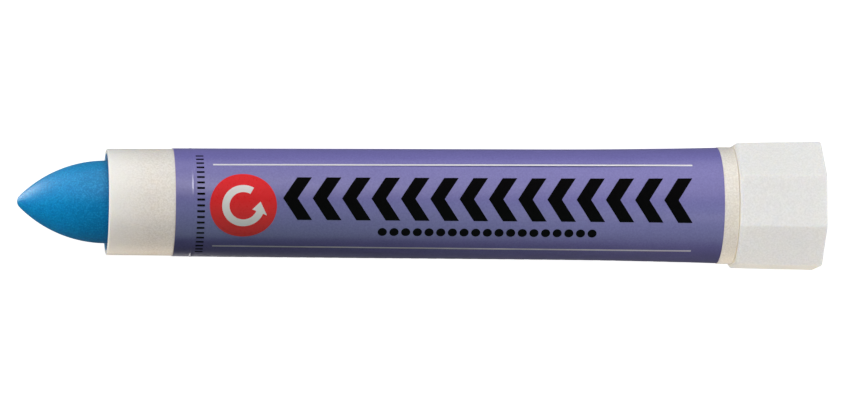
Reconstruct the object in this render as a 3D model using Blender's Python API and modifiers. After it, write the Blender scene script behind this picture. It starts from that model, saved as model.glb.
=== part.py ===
"""Twist-up solid paint marker, built as the real one is: a drafted barrel with guide ribs, a wrapped film
label, a solid paint stick on a threaded carrier, a drive screw in a rear bush with a seal ring, and an
eight-sided knob that turns the screw. Every piece is made standing on the knob's end face, nose up, about
its own Z axis. One empty then lays the marker down along X with the nose toward -X."""

import math

import bmesh
import bpy
from mathutils import Matrix
from mathutils import Vector

MM = 0.001

# Lengths along the axis, from the tip of the nose back to the knob's end face.
NOSE_LENGTH = 13.95 * MM  # paint that stands out of the mouth
NECK_LENGTH = 10.6 * MM  # bare barrel in front of the label
LABEL_LENGTH = 86.2 * MM
COLLAR_LENGTH = 2.3 * MM  # bare ring of barrel behind the label
KNOB_GAP = 0.1 * MM  # running gap between the barrel and the knob
KNOB_LENGTH = 13.8 * MM

# Paint stick.
STICK_RADIUS = 6.5 * MM
NOSE_TIP_RADIUS = 1.27 * MM
STICK_EDGE = 0.4 * MM  # chamfer on the rear edge of the stick

# Barrel.
MOUTH_GAP = 0.975 * MM  # ring of air round the stick at the mouth
MOUTH_WALL = 0.87 * MM
RIM_ROUND = 0.25 * MM
BARREL_DRAFT = 0.268 * MM  # outer radius gained from the mouth back to the flare
FLARE_LENGTH = 28.4 * MM
FLARE_RISE = 0.335 * MM  # outer radius gained by the flare on top of the draft
BORE_DRAFT = 0.34 * MM  # bore radius gained from the mouth back to the socket
SOCKET_DEPTH = 7.0 * MM
SOCKET_STEP = 0.3 * MM
RIB_COUNT = 4
RIB_WIDTH = 1.2 * MM
RIB_CLEARANCE = 0.35 * MM  # ribs stand this far off the stick
RIB_ROOT = 0.3 * MM  # how far a rib is rooted into the wall
RIB_SETBACK = 6.0 * MM  # ribs end this far behind the mouth

# Label film, glued into a sleeve.
FILM_GAP = 0.02 * MM
FILM_THICKNESS = 0.08 * MM
COLLAR_PROUD = 0.09 * MM  # the collar stands a little higher than the film

# Rear bush and the fits at the back.
PRESS_GAP = 0.05 * MM
SEAT_GAP = 0.3 * MM
RUNNING_GAP = 0.1 * MM
BUSH_WALL = 1.5 * MM
BEARING_WALL = 2.6 * MM
SNAP_HEIGHT = 0.2 * MM
SNAP_WIDTH = 1.0 * MM
SNAP_SETBACK = 2.6 * MM  # from the barrel's rear end to the middle of the snap bead

# Drive screw.
CORE_RADIUS = 2.5 * MM
RIDGE_HEIGHT = 1.0 * MM
RIDGE_CREST = 1.0 * MM  # width of the ridge's flat crest
RIDGE_ROOT = 2.1 * MM  # width of the ridge where it meets the core
THREAD_LEAD = 6.0 * MM
THREAD_GAP = 0.3 * MM
FLANGE_THICKNESS = 1.3 * MM
FLANGE_OVERHANG = 2.2 * MM  # the thrust flange stands out this far past the journal
JOURNAL_RADIUS = 3.0 * MM
TAIL_ACROSS_FLATS = 4.4 * MM
SCREW_NOSE = 1.2 * MM  # plain cone at the front end of the screw

# Seal ring round the journal.
SEAL_SECTION = 0.42 * MM
SEAL_GAP = 0.04 * MM

# Carrier.
CARRIER_START_GAP = 0.6 * MM
CARRIER_FLANGE = 2.6 * MM
CARRIER_RIM_GAP = 0.26 * MM  # round the carrier's flange, at the narrow end of the bore
CARRIER_HUB_LENGTH = 10.0 * MM
CARRIER_HUB_WALL = 1.0 * MM
CARRIER_STOP = 15.6 * MM  # the flange stops this far behind the mouth
NOTCH_GAP = 0.3 * MM
ENGAGED_AT_STOP = 8.4 * MM  # length of carrier still on the screw at full travel

# Knob.
KNOB_SIDES = 8
KNOB_FLAT_RISE = 0.4 * MM  # the flats stand this far above the collar, behind a chamfer as deep
KNOB_TAPER = 0.25 * MM  # half width gained from front to rear
KNOB_EDGE = 0.22 * MM
KNOB_SIDE_WALL = 1.5 * MM
KNOB_END_WALL = 1.8 * MM
KNOB_HUB_WALL = 1.5 * MM
WEB_COUNT = 4
WEB_THICKNESS = 1.2 * MM
WEB_SETBACK = 2.5 * MM

# Fineness of the round shapes.
ROUND_STEPS = 48
SMALL_ROUND_STEPS = 24
NOSE_STEPS = 12
TIP_STEPS = 4
FLARE_STEPS = 6
THREAD_STEPS = 16
SEAL_STEPS = 8

# Stations along the standing marker, up from the knob's end face.
KNOB_FRONT = KNOB_LENGTH
BARREL_REAR = KNOB_FRONT + KNOB_GAP
LABEL_REAR = BARREL_REAR + COLLAR_LENGTH
FLARE_START = LABEL_REAR + FLARE_LENGTH
LABEL_FRONT = LABEL_REAR + LABEL_LENGTH
MOUTH = LABEL_FRONT + NECK_LENGTH
TIP = MOUTH + NOSE_LENGTH
SOCKET_FRONT = BARREL_REAR + SOCKET_DEPTH
BUSH_FRONT = SOCKET_FRONT - SEAT_GAP
BEARING_REAR = BUSH_FRONT - BEARING_WALL
FLANGE_REAR = BUSH_FRONT + SEAT_GAP
FLANGE_FRONT = FLANGE_REAR + FLANGE_THICKNESS
CARRIER_REAR = FLANGE_FRONT + CARRIER_START_GAP
CARRIER_FRONT = CARRIER_REAR + CARRIER_FLANGE
HUB_FRONT = CARRIER_FRONT + CARRIER_HUB_LENGTH
TRAVEL = MOUTH - CARRIER_STOP - CARRIER_FRONT
THREAD_FRONT = CARRIER_REAR + TRAVEL + ENGAGED_AT_STOP
SCREW_FRONT = THREAD_FRONT + SCREW_NOSE
KNOB_HUB_FRONT = BEARING_REAR - SEAT_GAP
JOURNAL_REAR = KNOB_HUB_FRONT + SEAT_GAP / 2
TAIL_REAR = KNOB_END_WALL + SEAT_GAP

# Radii that follow from the sizes above.
BORE_MOUTH = STICK_RADIUS + MOUTH_GAP
BORE_REAR = BORE_MOUTH + BORE_DRAFT
SOCKET_RADIUS = BORE_REAR + SOCKET_STEP
MOUTH_RADIUS = BORE_MOUTH + MOUTH_WALL
DRAFT_SLOPE = BARREL_DRAFT / (MOUTH - FLARE_START)
FLARE_RADIUS = MOUTH_RADIUS + BARREL_DRAFT
SEAT_REAR_RADIUS = FLARE_RADIUS + DRAFT_SLOPE * FLARE_LENGTH + FLARE_RISE
COLLAR_RADIUS = SEAT_REAR_RADIUS + FILM_GAP + FILM_THICKNESS + COLLAR_PROUD
RIDGE_RADIUS = CORE_RADIUS + RIDGE_HEIGHT
NUT_BORE = CORE_RADIUS + THREAD_GAP
NUT_GROOVE = RIDGE_RADIUS + THREAD_GAP
CARRIER_HUB_RADIUS = NUT_GROOVE + CARRIER_HUB_WALL
CARRIER_RADIUS = BORE_MOUTH - CARRIER_RIM_GAP
RIB_TOP = STICK_RADIUS + RIB_CLEARANCE
STICK_BORE = RIDGE_RADIUS + THREAD_GAP
STICK_SOCKET = CARRIER_HUB_RADIUS + SEAT_GAP
BEARING_RADIUS = JOURNAL_RADIUS + RUNNING_GAP
SEAL_RADIUS = BEARING_RADIUS - SEAL_GAP - SEAL_SECTION
SEAL_GROOVE = SEAL_RADIUS - SEAL_SECTION - SEAL_GAP
FLANGE_RADIUS = JOURNAL_RADIUS + FLANGE_OVERHANG
TAIL_FLAT = TAIL_ACROSS_FLATS / 2
KNOB_HUB_RADIUS = (TAIL_FLAT + PRESS_GAP) / math.cos(math.pi / 6) + KNOB_HUB_WALL
KNOB_FRONT_FLAT = COLLAR_RADIUS + KNOB_FLAT_RISE
KNOB_REAR_FLAT = KNOB_FRONT_FLAT + KNOB_TAPER
KNOB_CAVITY = COLLAR_RADIUS - KNOB_SIDE_WALL
BUSH_RADIUS = SOCKET_RADIUS - PRESS_GAP
BUSH_BORE = BUSH_RADIUS - BUSH_WALL
PAST = 2.0 * MM  # how far a cutter runs past what it cuts


def clear_scene():
    for old in list(bpy.data.objects):
        bpy.data.objects.remove(old, do_unlink=True)


def new_collection(name):
    group = bpy.data.collections.new(name)
    bpy.context.scene.collection.children.link(group)
    return group


def new_material(name, colour, roughness):
    made = bpy.data.materials.new(name)
    made.use_nodes = True
    shader = made.node_tree.nodes["Principled BSDF"]
    shader.inputs["Base Color"].default_value = (*colour, 1.0)
    shader.inputs["Roughness"].default_value = roughness
    made.diffuse_color = (*colour, 1.0)
    return made


def new_empty(name, parent):
    made = bpy.data.objects.new(name, None)
    made.empty_display_size = 10 * MM
    PARTS.objects.link(made)
    made.parent = parent
    return made


def new_object(name, mesh, parent):
    made = bpy.data.objects.new(name, mesh)
    PARTS.objects.link(made)
    made.parent = parent
    return made


def make_cutter(piece):
    PARTS.objects.unlink(piece)
    CUTTERS.objects.link(piece)
    piece.hide_render = True
    piece.display_type = "WIRE"


def finish_piece(piece, surface):
    piece.data.materials.append(surface)
    piece.data.shade_smooth()
    piece.data.set_sharp_from_angle(angle=math.radians(35))


def mesh_of(name, work):
    bmesh.ops.recalc_face_normals(work, faces=work.faces)
    mesh = bpy.data.meshes.new(name)
    work.to_mesh(mesh)
    work.free()
    return mesh


def turned(name, outline, parent, closed, steps=ROUND_STEPS):
    """A turned piece: the outline of (radius, height) points runs down the outer side and, if it is closed,
    back up the inner side. It starts half a step round, so the marker lies on a facet and not on an edge."""
    work = bmesh.new()
    across = math.cos(math.pi / steps)
    aside = math.sin(math.pi / steps)
    points = [work.verts.new((radius * across, radius * aside, height)) for radius, height in outline]
    for first, second in zip(points, points[1:]):
        work.edges.new((first, second))
    if closed:
        work.edges.new((points[-1], points[0]))
    mesh = bpy.data.meshes.new(name)
    work.to_mesh(mesh)
    work.free()
    made = new_object(name, mesh, parent)
    lathe = made.modifiers.new("lathe", "SCREW")
    lathe.axis = "Z"
    lathe.angle = math.tau
    lathe.steps = steps
    lathe.render_steps = steps
    lathe.use_merge_vertices = True
    lathe.merge_threshold = 0.00001
    lathe.use_smooth_shade = True
    return made


def prism(name, sides, sections, parent):
    """A prism drawn up the axis through sections of (distance from the axis to a flat, height). One flat
    faces local +X."""
    work = bmesh.new()
    rings = []
    for flat, height in sections:
        corner = flat / math.cos(math.pi / sides)
        ring = []
        for index in range(sides):
            angle = math.tau * (index + 0.5) / sides
            ring.append(work.verts.new((corner * math.cos(angle), corner * math.sin(angle), height)))
        rings.append(ring)
    work.faces.new(rings[0])
    work.faces.new(rings[-1])
    for low, high in zip(rings, rings[1:]):
        for index in range(sides):
            after = (index + 1) % sides
            work.faces.new((low[index], low[after], high[after], high[index]))
    return new_object(name, mesh_of(name, work), parent)


def box_ring(name, count, inner, outer, width, low, high, parent):
    """Equal straight bars set round the axis, each running along it."""
    work = bmesh.new()
    for index in range(count):
        size = Matrix.Diagonal((outer - inner, width, high - low, 1.0))
        place = Matrix.Translation(((inner + outer) / 2, 0, (low + high) / 2))
        turn = Matrix.Rotation(math.tau * (index + 0.5) / count, 4, "Z")
        bmesh.ops.create_cube(work, size=1.0, matrix=turn @ place @ size)
    return new_object(name, mesh_of(name, work), parent)


def left_hand_ridge(name, inner, outer, root, crest, low, high, parent):
    """A left-hand thread ridge of trapezoid section, swept up the axis from low to high."""
    section = (
        (inner, -root / 2),
        (outer, -crest / 2),
        (outer, crest / 2),
        (inner, root / 2),
    )
    turns = (high - low) / THREAD_LEAD
    steps = max(2, round(turns * THREAD_STEPS))
    start = -math.tau * low / THREAD_LEAD
    work = bmesh.new()
    corners = []
    for radius, height in section:
        spot = Vector((radius * math.cos(start), radius * math.sin(start), low + height))
        corners.append(work.verts.new(spot))
    loop = [work.edges.new((corners[i], corners[(i + 1) % 4])) for i in range(4)]
    swept = bmesh.ops.spin(
        work,
        geom=corners + loop,
        cent=(0, 0, 0),
        axis=(0, 0, 1),
        dvec=(0, 0, (high - low) / steps),
        angle=-math.tau * turns,
        steps=steps,
        use_merge=False,
        use_normal_flip=False,
        use_duplicate=False,
    )
    last = [item for item in swept["geom_last"] if isinstance(item, bmesh.types.BMEdge)]
    bmesh.ops.holes_fill(work, edges=loop, sides=4)
    bmesh.ops.holes_fill(work, edges=last, sides=4)
    return new_object(name, mesh_of(name, work), parent)


def combine(piece, other, operation):
    step = piece.modifiers.new(operation.lower() + "_" + other.name, "BOOLEAN")
    step.object = other
    step.operation = operation
    step.solver = "EXACT"
    make_cutter(other)


def round_edges(piece, width):
    step = piece.modifiers.new("edge_round", "BEVEL")
    step.width = width
    step.segments = 2
    step.limit_method = "ANGLE"
    step.angle_limit = math.radians(30)


def seat_radius(height):
    """Outer radius of the bare barrel under the label and along the neck."""
    radius = MOUTH_RADIUS + DRAFT_SLOPE * (MOUTH - height)
    if height < FLARE_START:
        radius += FLARE_RISE * ((FLARE_START - height) / FLARE_LENGTH) ** 2
    return radius


def flare_heights():
    return [FLARE_START - FLARE_LENGTH * step / FLARE_STEPS for step in range(FLARE_STEPS + 1)]


def nose_outline():
    """The nose from its tip back to the mouth: a small round tip that runs into one long arc, which meets
    the straight side of the stick smoothly."""
    drop = STICK_RADIUS - NOSE_TIP_RADIUS
    reach = NOSE_LENGTH - NOSE_TIP_RADIUS
    sweep = (reach**2 / drop + STICK_RADIUS + NOSE_TIP_RADIUS) / 2
    meet = math.atan2(reach, sweep - STICK_RADIUS)
    points = []
    for step in range(TIP_STEPS):
        spot = (math.pi / 2 - meet) * step / TIP_STEPS
        points.append((NOSE_TIP_RADIUS * math.sin(spot), TIP - NOSE_TIP_RADIUS * (1 - math.cos(spot))))
    for step in range(NOSE_STEPS + 1):
        angle = meet * (1 - step / NOSE_STEPS)
        points.append((STICK_RADIUS - sweep * (1 - math.cos(angle)), MOUTH + sweep * math.sin(angle)))
    return points


def make_barrel(parent):
    outline = [
        (BORE_MOUTH + RIM_ROUND, MOUTH),
        (MOUTH_RADIUS - RIM_ROUND, MOUTH),
        (MOUTH_RADIUS, MOUTH - RIM_ROUND),
        (seat_radius(LABEL_FRONT), LABEL_FRONT),
    ]
    outline += [(seat_radius(height), height) for height in flare_heights()]
    groove = SNAP_WIDTH / 2 + SEAT_GAP
    snap = BARREL_REAR + SNAP_SETBACK
    outline += [
        (COLLAR_RADIUS, LABEL_REAR),
        (COLLAR_RADIUS, BARREL_REAR),
        (SOCKET_RADIUS, BARREL_REAR),
        (SOCKET_RADIUS, snap - groove - SNAP_HEIGHT),
        (SOCKET_RADIUS + SNAP_HEIGHT, snap - groove),
        (SOCKET_RADIUS + SNAP_HEIGHT, snap + groove),
        (SOCKET_RADIUS, snap + groove + SNAP_HEIGHT),
        (SOCKET_RADIUS, SOCKET_FRONT),
        (BORE_REAR, SOCKET_FRONT),
        (BORE_MOUTH, MOUTH - RIM_ROUND),
    ]
    barrel = turned("barrel", outline, parent, True)
    low = SOCKET_FRONT + SEAT_GAP
    high = MOUTH - RIB_SETBACK
    root = BORE_REAR + RIB_ROOT
    ribs = box_ring("barrel_ribs", RIB_COUNT, RIB_TOP, root, RIB_WIDTH, low, high, parent)
    combine(barrel, ribs, "UNION")
    return barrel


def make_label(parent):
    inner = [(seat_radius(LABEL_FRONT) + FILM_GAP, LABEL_FRONT)]
    inner += [(seat_radius(height) + FILM_GAP, height) for height in flare_heights()]
    inner[-1] = (inner[-1][0], LABEL_REAR + FILM_GAP)
    outer = [(radius + FILM_THICKNESS, height) for radius, height in inner]
    return turned("label_film", outer + inner[::-1], parent, True)


def make_stick(parent):
    bore_end = SCREW_FRONT + SEAT_GAP
    socket_end = HUB_FRONT + SEAT_GAP
    rear = CARRIER_FRONT + SEAT_GAP
    outline = nose_outline() + [
        (STICK_RADIUS, rear + STICK_EDGE),
        (STICK_RADIUS - STICK_EDGE, rear),
        (STICK_SOCKET, rear),
        (STICK_SOCKET, socket_end),
        (STICK_BORE, socket_end),
        (STICK_BORE, bore_end),
        (0, bore_end + STICK_BORE / 2),
    ]
    return turned("paint_stick", outline, parent, False)


def make_carrier(parent):
    outline = [
        (NUT_BORE, HUB_FRONT),
        (CARRIER_HUB_RADIUS, HUB_FRONT),
        (CARRIER_HUB_RADIUS, CARRIER_FRONT),
        (CARRIER_RADIUS, CARRIER_FRONT),
        (CARRIER_RADIUS, CARRIER_REAR),
        (NUT_BORE, CARRIER_REAR),
    ]
    carrier = turned("stick_carrier", outline, parent, True)
    notch_low = CARRIER_REAR - PAST
    notch_high = CARRIER_FRONT + PAST
    notch_width = RIB_WIDTH + 2 * NOTCH_GAP
    notch_floor = RIB_TOP - NOTCH_GAP
    notch_top = CARRIER_RADIUS + PAST
    notches = box_ring(
        "carrier_notches",
        RIB_COUNT,
        notch_floor,
        notch_top,
        notch_width,
        notch_low,
        notch_high,
        parent,
    )
    combine(carrier, notches, "DIFFERENCE")
    groove = left_hand_ridge(
        "carrier_thread",
        CORE_RADIUS - RIDGE_HEIGHT,
        NUT_GROOVE,
        RIDGE_ROOT + 2 * THREAD_GAP + RIDGE_ROOT - RIDGE_CREST,
        RIDGE_CREST + 2 * THREAD_GAP,
        CARRIER_REAR - THREAD_LEAD,
        HUB_FRONT + THREAD_LEAD,
        parent,
    )
    combine(carrier, groove, "DIFFERENCE")
    return carrier


def make_screw(parent):
    seal_middle = BEARING_REAR + BEARING_WALL / 2
    groove = SEAL_SECTION + SEAL_GAP
    outline = [
        (0, SCREW_FRONT),
        (CORE_RADIUS / 2, SCREW_FRONT),
        (CORE_RADIUS, THREAD_FRONT),
        (CORE_RADIUS, FLANGE_FRONT),
        (FLANGE_RADIUS, FLANGE_FRONT),
        (FLANGE_RADIUS, FLANGE_REAR),
        (JOURNAL_RADIUS, FLANGE_REAR),
        (JOURNAL_RADIUS, seal_middle + groove),
        (SEAL_GROOVE, seal_middle + groove),
        (SEAL_GROOVE, seal_middle - groove),
        (JOURNAL_RADIUS, seal_middle - groove),
        (JOURNAL_RADIUS, JOURNAL_REAR),
        (0, JOURNAL_REAR),
    ]
    screw = turned("drive_screw", outline, parent, False, SMALL_ROUND_STEPS)
    ridge = left_hand_ridge(
        "screw_thread",
        CORE_RADIUS - RIDGE_HEIGHT / 4,
        RIDGE_RADIUS,
        RIDGE_ROOT,
        RIDGE_CREST,
        CARRIER_REAR,
        THREAD_FRONT - RIDGE_ROOT / 2,
        parent,
    )
    combine(screw, ridge, "UNION")
    tail_front = JOURNAL_REAR + JOURNAL_RADIUS / 4
    tail = prism("screw_tail", 6, [(TAIL_FLAT, TAIL_REAR), (TAIL_FLAT, tail_front)], parent)
    combine(screw, tail, "UNION")
    return screw


def make_bush(parent):
    snap = BARREL_REAR + SNAP_SETBACK
    half = SNAP_WIDTH / 2
    bead = BUSH_RADIUS + SNAP_HEIGHT
    outline = [
        (BEARING_RADIUS, BUSH_FRONT),
        (BUSH_RADIUS, BUSH_FRONT),
        (BUSH_RADIUS, snap + half + SNAP_HEIGHT),
        (bead, snap + half),
        (bead, snap - half),
        (BUSH_RADIUS, snap - half - SNAP_HEIGHT),
        (BUSH_RADIUS, BARREL_REAR + SEAT_GAP),
        (BUSH_BORE, BARREL_REAR + SEAT_GAP),
        (BUSH_BORE, BEARING_REAR),
        (BEARING_RADIUS, BEARING_REAR),
    ]
    return turned("rear_bush", outline, parent, True)


def make_seal(parent):
    middle = BEARING_REAR + BEARING_WALL / 2
    outline = []
    for step in range(SEAL_STEPS):
        angle = -math.tau * step / SEAL_STEPS
        across = SEAL_SECTION * math.cos(angle)
        along = SEAL_SECTION * math.sin(angle)
        outline.append((SEAL_RADIUS + across, middle + along))
    return turned("journal_seal_ring", outline, parent, True, SMALL_ROUND_STEPS)


def make_knob(parent):
    sections = [
        (KNOB_REAR_FLAT, 0),
        (KNOB_FRONT_FLAT, KNOB_FRONT - KNOB_FLAT_RISE),
        (COLLAR_RADIUS, KNOB_FRONT),
    ]
    knob = prism("propel_knob", KNOB_SIDES, sections, parent)
    round_edges(knob, KNOB_EDGE)
    cavity = [
        (0, KNOB_FRONT + PAST),
        (KNOB_CAVITY, KNOB_FRONT + PAST),
        (KNOB_CAVITY, KNOB_END_WALL),
        (0, KNOB_END_WALL),
    ]
    combine(knob, turned("knob_cavity", cavity, parent, False), "DIFFERENCE")
    hub = [
        (0, KNOB_HUB_FRONT),
        (KNOB_HUB_RADIUS, KNOB_HUB_FRONT),
        (KNOB_HUB_RADIUS, KNOB_END_WALL / 2),
        (0, KNOB_END_WALL / 2),
    ]
    combine(knob, turned("knob_hub", hub, parent, False, SMALL_ROUND_STEPS), "UNION")
    webs = box_ring(
        "knob_webs",
        WEB_COUNT,
        KNOB_HUB_RADIUS - KNOB_HUB_WALL / 2,
        KNOB_CAVITY + KNOB_SIDE_WALL / 2,
        WEB_THICKNESS,
        KNOB_END_WALL / 2,
        KNOB_FRONT - WEB_SETBACK,
        parent,
    )
    combine(knob, webs, "UNION")
    socket_flat = TAIL_FLAT + PRESS_GAP
    socket_high = KNOB_HUB_FRONT + PAST
    socket = prism("knob_socket", 6, [(socket_flat, KNOB_END_WALL), (socket_flat, socket_high)], parent)
    combine(knob, socket, "DIFFERENCE")
    return knob


clear_scene()
PARTS = new_collection("solid_paint_marker")
CUTTERS = new_collection("cutters")

# The axis of the marker lies along X, at the height of half the knob's width, nose toward -X.
marker_axis = new_empty("marker_axis", None)
marker_axis.location = (TIP / 2, 0, KNOB_REAR_FLAT)
marker_axis.rotation_euler = (0, -math.pi / 2, 0)
knob_turn = new_empty("knob_turn", marker_axis)
stick_slide = new_empty("stick_slide", marker_axis)

ivory = new_material("barrel_ivory", (0.83, 0.80, 0.73), 0.45)
violet = new_material("label_violet", (0.22, 0.19, 0.48), 0.3)
blue = new_material("paint_blue", (0.005, 0.2, 0.47), 0.5)
natural = new_material("carrier_natural", (0.78, 0.78, 0.75), 0.5)
grey = new_material("screw_grey", (0.55, 0.56, 0.57), 0.5)
bush_white = new_material("bush_white", (0.74, 0.74, 0.73), 0.5)
rubber = new_material("seal_rubber", (0.03, 0.03, 0.03), 0.7)
white = new_material("knob_white", (0.85, 0.85, 0.84), 0.45)

finish_piece(make_barrel(marker_axis), ivory)
finish_piece(make_label(marker_axis), violet)
finish_piece(make_bush(marker_axis), bush_white)
finish_piece(make_stick(stick_slide), blue)
finish_piece(make_carrier(stick_slide), natural)
finish_piece(make_screw(knob_turn), grey)
finish_piece(make_seal(knob_turn), rubber)
finish_piece(make_knob(knob_turn), white)
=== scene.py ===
# %% [markdown]
# # A twist-up paint marker
# The imported CAD model holds the sizes and the motion of this marker. This lesson dresses it: a
# moulded ivory barrel, a printed film label, a stick of waxy blue paint and a white eight-sided
# knob. The CAD model is loaded first and stays where it is. Its box is kept.

# %% Load the marker
import math
from functools import partial

import bmesh
import bpy
from mathutils import Matrix, Vector


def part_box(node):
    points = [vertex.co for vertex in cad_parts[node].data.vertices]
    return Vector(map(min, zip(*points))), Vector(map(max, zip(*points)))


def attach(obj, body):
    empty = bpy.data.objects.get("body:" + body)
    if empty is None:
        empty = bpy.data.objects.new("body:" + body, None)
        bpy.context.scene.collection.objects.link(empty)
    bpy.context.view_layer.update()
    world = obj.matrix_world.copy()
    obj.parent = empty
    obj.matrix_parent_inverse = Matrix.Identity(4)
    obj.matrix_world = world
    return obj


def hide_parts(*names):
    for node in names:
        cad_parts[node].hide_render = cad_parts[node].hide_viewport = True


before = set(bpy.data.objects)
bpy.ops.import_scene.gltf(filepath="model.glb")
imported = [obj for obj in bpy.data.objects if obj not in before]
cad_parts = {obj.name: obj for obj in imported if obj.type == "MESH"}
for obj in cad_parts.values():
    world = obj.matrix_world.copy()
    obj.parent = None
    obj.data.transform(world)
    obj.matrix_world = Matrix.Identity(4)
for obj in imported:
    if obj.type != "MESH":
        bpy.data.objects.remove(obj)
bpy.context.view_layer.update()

MM = 0.001
print("nodes:", sorted(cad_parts))

# %% [markdown]
# ## Where everything sits
# The marker lies along X with its nose toward -X. Each station along it is read from the box of a
# CAD node, so a new pack moves the dressed pieces with it. The radii are the ones the barrel was
# moulded to: a slight draft from the mouth back, then a gentle flare in front of the knob.

# %% Stations and radii
def ends_of(node):
    """Where a CAD node starts and ends along the marker."""
    low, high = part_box(node)
    return low.x, high.x


mouth_x, barrel_rear_x = ends_of("barrel")
film_front_x, film_rear_x = ends_of("label_film")
tip_x, stick_rear_x = ends_of("paint_stick")
hub_front_x, knob_rear_x = ends_of("propel_knob")
knob_gap = 0.1 * MM
knob_front_x = barrel_rear_x + knob_gap
stick_radius = 6.5 * MM
mouth_gap = 0.975 * MM
mouth_wall = 0.87 * MM
bore_radius = stick_radius + mouth_gap
mouth_radius = bore_radius + mouth_wall
barrel_draft = 0.268 * MM
flare_length = 28.4 * MM
flare_rise = 0.335 * MM
flare_x = film_rear_x - flare_length
draft_slope = barrel_draft / (flare_x - mouth_x)


def seat_radius(x):
    """Radius of the bare barrel at a station."""
    flare = max(0.0, (x - flare_x) / flare_length)
    return mouth_radius + draft_slope * (x - mouth_x) + flare_rise * flare**2


film_gap = 0.02 * MM
film_thickness = 0.08 * MM
collar_proud = 0.09 * MM
collar_radius = seat_radius(film_rear_x) + film_gap + film_thickness + collar_proud
chamfer_rise = 0.4 * MM
knob_taper = 0.25 * MM
front_flat = collar_radius + chamfer_rise
rear_flat = front_flat + knob_taper
axis_z = rear_flat
print("length in mm:", round((knob_rear_x - tip_x) / MM, 2))
print("axis height in mm:", round(axis_z / MM, 3))
print("barrel radius at the label's rear end in mm:", round(seat_radius(film_rear_x) / MM, 3))

# %% [markdown]
# ## The camera
# The photograph looks almost straight down on the marker through a long lens. The camera leans a
# few degrees toward the nose, so the front of the collar and of the knob just show. Three small
# turns in a row give that lean, and then the camera steps back along its own axis.

# %% Camera
lean_to_nose = math.radians(6.36)
lean_to_front = math.radians(4.91)
camera_roll = math.radians(-0.21)
camera_distance = 1.008
focal_pixels = 6391
image_width_pixels = 854
sensor_width_mm = 36.0
aim = Vector((1.13 * MM, -0.19 * MM, 9.9 * MM))
turn = Matrix.Rotation(-lean_to_nose, 4, "Y") @ Matrix.Rotation(lean_to_front, 4, "X")
turn = turn @ Matrix.Rotation(camera_roll, 4, "Z")
camera_data = bpy.data.cameras.new("product_camera")
camera_data.sensor_width = sensor_width_mm
camera_data.lens = sensor_width_mm * focal_pixels / image_width_pixels
camera_data.clip_start = 0.05
camera = bpy.data.objects.new("product_camera", camera_data)
camera.matrix_world = Matrix.Translation(aim + turn.col[2].to_3d() * camera_distance) @ turn
bpy.context.scene.collection.objects.link(camera)
bpy.context.scene.camera = camera
print("camera stands at", [round(value, 3) for value in camera.matrix_world.translation])

# %% [markdown]
# ## Floor and light
# The floor is plain and white, like a light table under a product. It gives off its own light for
# the camera, but it is kept out of the bounced light, so the near side of the marker can fall into
# soft shade.

# %% Floor
def add_plain_piece(name, mesh):
    """Put a mesh into the scene as an object at the origin."""
    piece = bpy.data.objects.new(name, mesh)
    bpy.context.scene.collection.objects.link(piece)
    return piece


def start_finish(name, values):
    """A new material, its tree and its shader, with the shader's plain values set."""
    finish = bpy.data.materials.new(name)
    finish.use_nodes = True
    shader = finish.node_tree.nodes["Principled BSDF"]
    for label, value in values.items():
        shader.inputs[label].default_value = value
    return finish, finish.node_tree, shader


floor_edge = 3.0
floor_corners = [(-1, -1), (1, -1), (1, 1), (-1, 1)]
floor_points = [(floor_edge * x, floor_edge * y, 0) for x, y in floor_corners]
floor_mesh = bpy.data.meshes.new("studio_floor")
floor_mesh.from_pydata(floor_points, [], [(0, 1, 2, 3)])
floor_white, tree, shader = start_finish(
    "floor_white",
    {
        "Base Color": (0.3, 0.3, 0.3, 1),
        "Roughness": 0.9,
        "Emission Color": (1, 1, 1, 1),
        "Emission Strength": 1.0,
    },
)
floor_mesh.materials.append(floor_white)
floor = add_plain_piece("studio_floor", floor_mesh)
floor.visible_diffuse = False
floor.visible_glossy = False
floor.visible_shadow = False
print("floor made, side in m:", 2 * floor_edge)

# %% [markdown]
# One large softbox on the far side shades the whole marker, from bright along its far edge to
# darker along the near one. A dim, slightly cool room light keeps the shade open.

# %% Softbox and room light
lit_by = {}


def keep_light_for(holder, group):
    """Let a light reach only the pieces of one group."""
    if group not in lit_by:
        lit_by[group] = bpy.data.collections.new(group)
    holder.light_linking.receiver_collection = lit_by[group]


def light_piece(piece, *groups):
    """Add a piece to the groups that have lights of their own."""
    for group in groups:
        lit_by[group].objects.link(piece)


def hang_light(name, lamp, place, look_at):
    """Hang a lamp at a place and turn it toward a point. The camera doesn't see it."""
    holder = bpy.data.objects.new(name, lamp)
    holder.location = place
    way = Vector(look_at) - Vector(place)
    holder.rotation_euler = way.to_track_quat("-Z", "Y").to_euler()
    holder.visible_camera = False
    bpy.context.scene.collection.objects.link(holder)
    return holder


def add_softbox(name, place, look_at, size, power, colour, group=None, use="both"):
    """A rectangular light for all pieces or one group, seen in the shade, the gloss or both."""
    lamp = bpy.data.lights.new(name, "AREA")
    lamp.shape = "RECTANGLE"
    lamp.size, lamp.size_y = size
    lamp.energy = power
    lamp.color = colour
    holder = hang_light(name, lamp, place, look_at)
    holder.visible_diffuse = use != "gloss"
    holder.visible_glossy = use != "shade"
    if group:
        keep_light_for(holder, group)


middle = (0, 0, 0.01)
add_softbox("far_softbox", (0, 0.69, 0.54), middle, (1.6, 1.65), 12.5, (1, 0.99, 0.97))
studio = bpy.data.worlds.new("studio")
studio.use_nodes = True
room_light = studio.node_tree.nodes["Background"]
room_light.inputs["Color"].default_value = (0.94, 1, 1, 1)
room_light.inputs["Strength"].default_value = 0.085
bpy.context.scene.world = studio
bpy.context.scene.view_settings.view_transform = "Standard"
print("main light: far_softbox, room light:", studio.name)

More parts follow.
